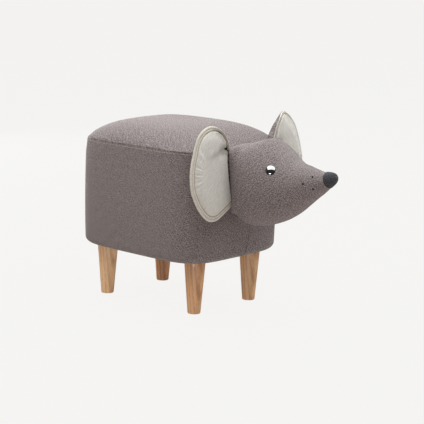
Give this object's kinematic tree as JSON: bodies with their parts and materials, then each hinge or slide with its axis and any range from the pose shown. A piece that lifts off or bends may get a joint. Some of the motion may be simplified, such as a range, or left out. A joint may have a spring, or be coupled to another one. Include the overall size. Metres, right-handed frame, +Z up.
{
  "type": "animal footstool",
  "caption": "Upholstered child's footstool in the shape of a mouse, with a crowned seat, turned wooden legs, a stuffed head and padded ears on sprung roots.",
  "frame": {"origin": "on the floor, midway between the tail end and the nose tip, on the plane of symmetry", "axes": "+X towards the nose, +Y towards the animal's left, +Z up"},
  "size_m": [0.5769, 0.3522, 0.3863],
  "materials": {
    "upholstery": "heathered grey-brown woven cloth, matt, with a fine diagonal weave",
    "ear_lining": "light beige-grey twill, matt, slightly puckered at the seams",
    "nose_felt": "charcoal wool felt",
    "black_thread": "black embroidery thread",
    "eye_gloss": "polished black",
    "leg_wood": "light oak, clear satin lacquer",
    "plywood": "raw plywood",
    "post_wood": "raw planed pine",
    "hardboard": "raw brown hardboard",
    "foam": "open-cell polyurethane foam",
    "wadding": "loose polyester fibre",
    "dust_cloth": "thin non-woven cloth",
    "zinc_steel": "bright zinc plate"
  },
  "bodies": {
    "root": {"cover_top_panel": "upholstery", "cover_side_band": "upholstery", "dust_cover": "dust_cloth", "seat_foam": "foam", "side_foam": "foam", "wall_board": "hardboard", "top_board": "plywood", "base_board": "plywood", "frame_post_front_right": "post_wood", "base_screw_front_right": "zinc_steel", "top_screw_front_right": "zinc_steel", "frame_post_front_left": "post_wood", "base_screw_front_left": "zinc_steel", "top_screw_front_left": "zinc_steel", "frame_post_rear_right": "post_wood", "base_screw_rear_right": "zinc_steel", "top_screw_rear_right": "zinc_steel", "frame_post_rear_left": "post_wood", "base_screw_rear_left": "zinc_steel", "top_screw_rear_left": "zinc_steel", "leg_front_right": "leg_wood", "hanger_bolt_front_right": "zinc_steel", "t_nut_front_right": "zinc_steel", "leg_front_left": "leg_wood", "hanger_bolt_front_left": "zinc_steel", "t_nut_front_left": "zinc_steel", "leg_rear_right": "leg_wood", "hanger_bolt_rear_right": "zinc_steel", "t_nut_rear_right": "zinc_steel", "leg_rear_left": "leg_wood", "hanger_bolt_rear_left": "zinc_steel", "t_nut_rear_left": "zinc_steel", "head_cover": "upholstery", "head_stuffing": "wadding", "nose_cap": "nose_felt", "eye_right": "eye_gloss", "eye_washer_right": "zinc_steel", "whisker_knot_upper_right": "black_thread", "whisker_knot_middle_right": "black_thread", "whisker_knot_lower_right": "black_thread", "eye_left": "eye_gloss", "eye_washer_left": "zinc_steel", "whisker_knot_upper_left": "black_thread", "whisker_knot_middle_left": "black_thread", "whisker_knot_lower_left": "black_thread"},
    "ear_right": {"ear_right_back_panel": "upholstery", "ear_right_padding": "wadding", "ear_right_front_panel": "ear_lining"},
    "ear_left": {"ear_left_back_panel": "upholstery", "ear_left_padding": "wadding", "ear_left_front_panel": "ear_lining"}
  },
  "joints": [
    {"name": "ear_right_flap", "type": "hinge", "parent": "root", "child": "ear_right", "pos_m": [0.0754, -0.058, 0.225], "axis": [-0.0915, 0, 0.9958], "range_deg": [-10, 15], "stiffness_Nm_per_rad": 0.5},
    {"name": "ear_left_flap", "type": "hinge", "parent": "root", "child": "ear_left", "pos_m": [0.0754, 0.058, 0.225], "axis": [0.0915, 0, -0.9958], "range_deg": [-10, 15], "stiffness_Nm_per_rad": 0.5}
  ]
}
